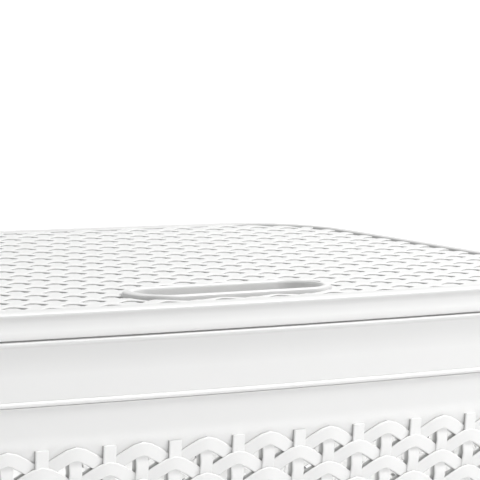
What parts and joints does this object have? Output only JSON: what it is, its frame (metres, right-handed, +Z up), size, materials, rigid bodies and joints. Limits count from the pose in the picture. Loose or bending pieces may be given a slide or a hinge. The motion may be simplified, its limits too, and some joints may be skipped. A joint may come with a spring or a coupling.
{
  "type": "laundry hamper with lid",
  "caption": "Tall tapered rectangular laundry hamper in white plastic with a woven rattan pattern, plain collar, side hand holes and a rear-hinged lid with a hand slot near its front.",
  "frame": {"origin": "centre of the object's box at floor level", "axes": "+Z up, the front with the lid's hand slot towards -Y, hinges towards +Y, +X to the right seen from the front"},
  "size_m": [0.445, 0.327, 0.584],
  "materials": {
    "shell_plastic": "white moulded polypropylene with a satin sheen",
    "channel_plastic": "white extruded plastic, a little duller than the shell",
    "pin_plastic": "off-white moulded nylon"
  },
  "bodies": {
    "basket": {"base_tray": "shell_plastic", "front_wall": "shell_plastic", "rear_wall": "shell_plastic", "left_wall": "shell_plastic", "right_wall": "shell_plastic", "front_right_channel": "channel_plastic", "front_left_channel": "channel_plastic", "rear_right_channel": "channel_plastic", "rear_left_channel": "channel_plastic", "top_collar": "shell_plastic", "left_hinge_pin": "pin_plastic", "right_hinge_pin": "pin_plastic"},
    "lid": {"lid": "shell_plastic"}
  },
  "joints": [
    {"name": "lid_hinge", "type": "hinge", "parent": "basket", "child": "lid", "pos_m": [0, 0.159, 0.57015], "axis": [-1, 0, 0], "range_deg": [0, 105]}
  ]
}
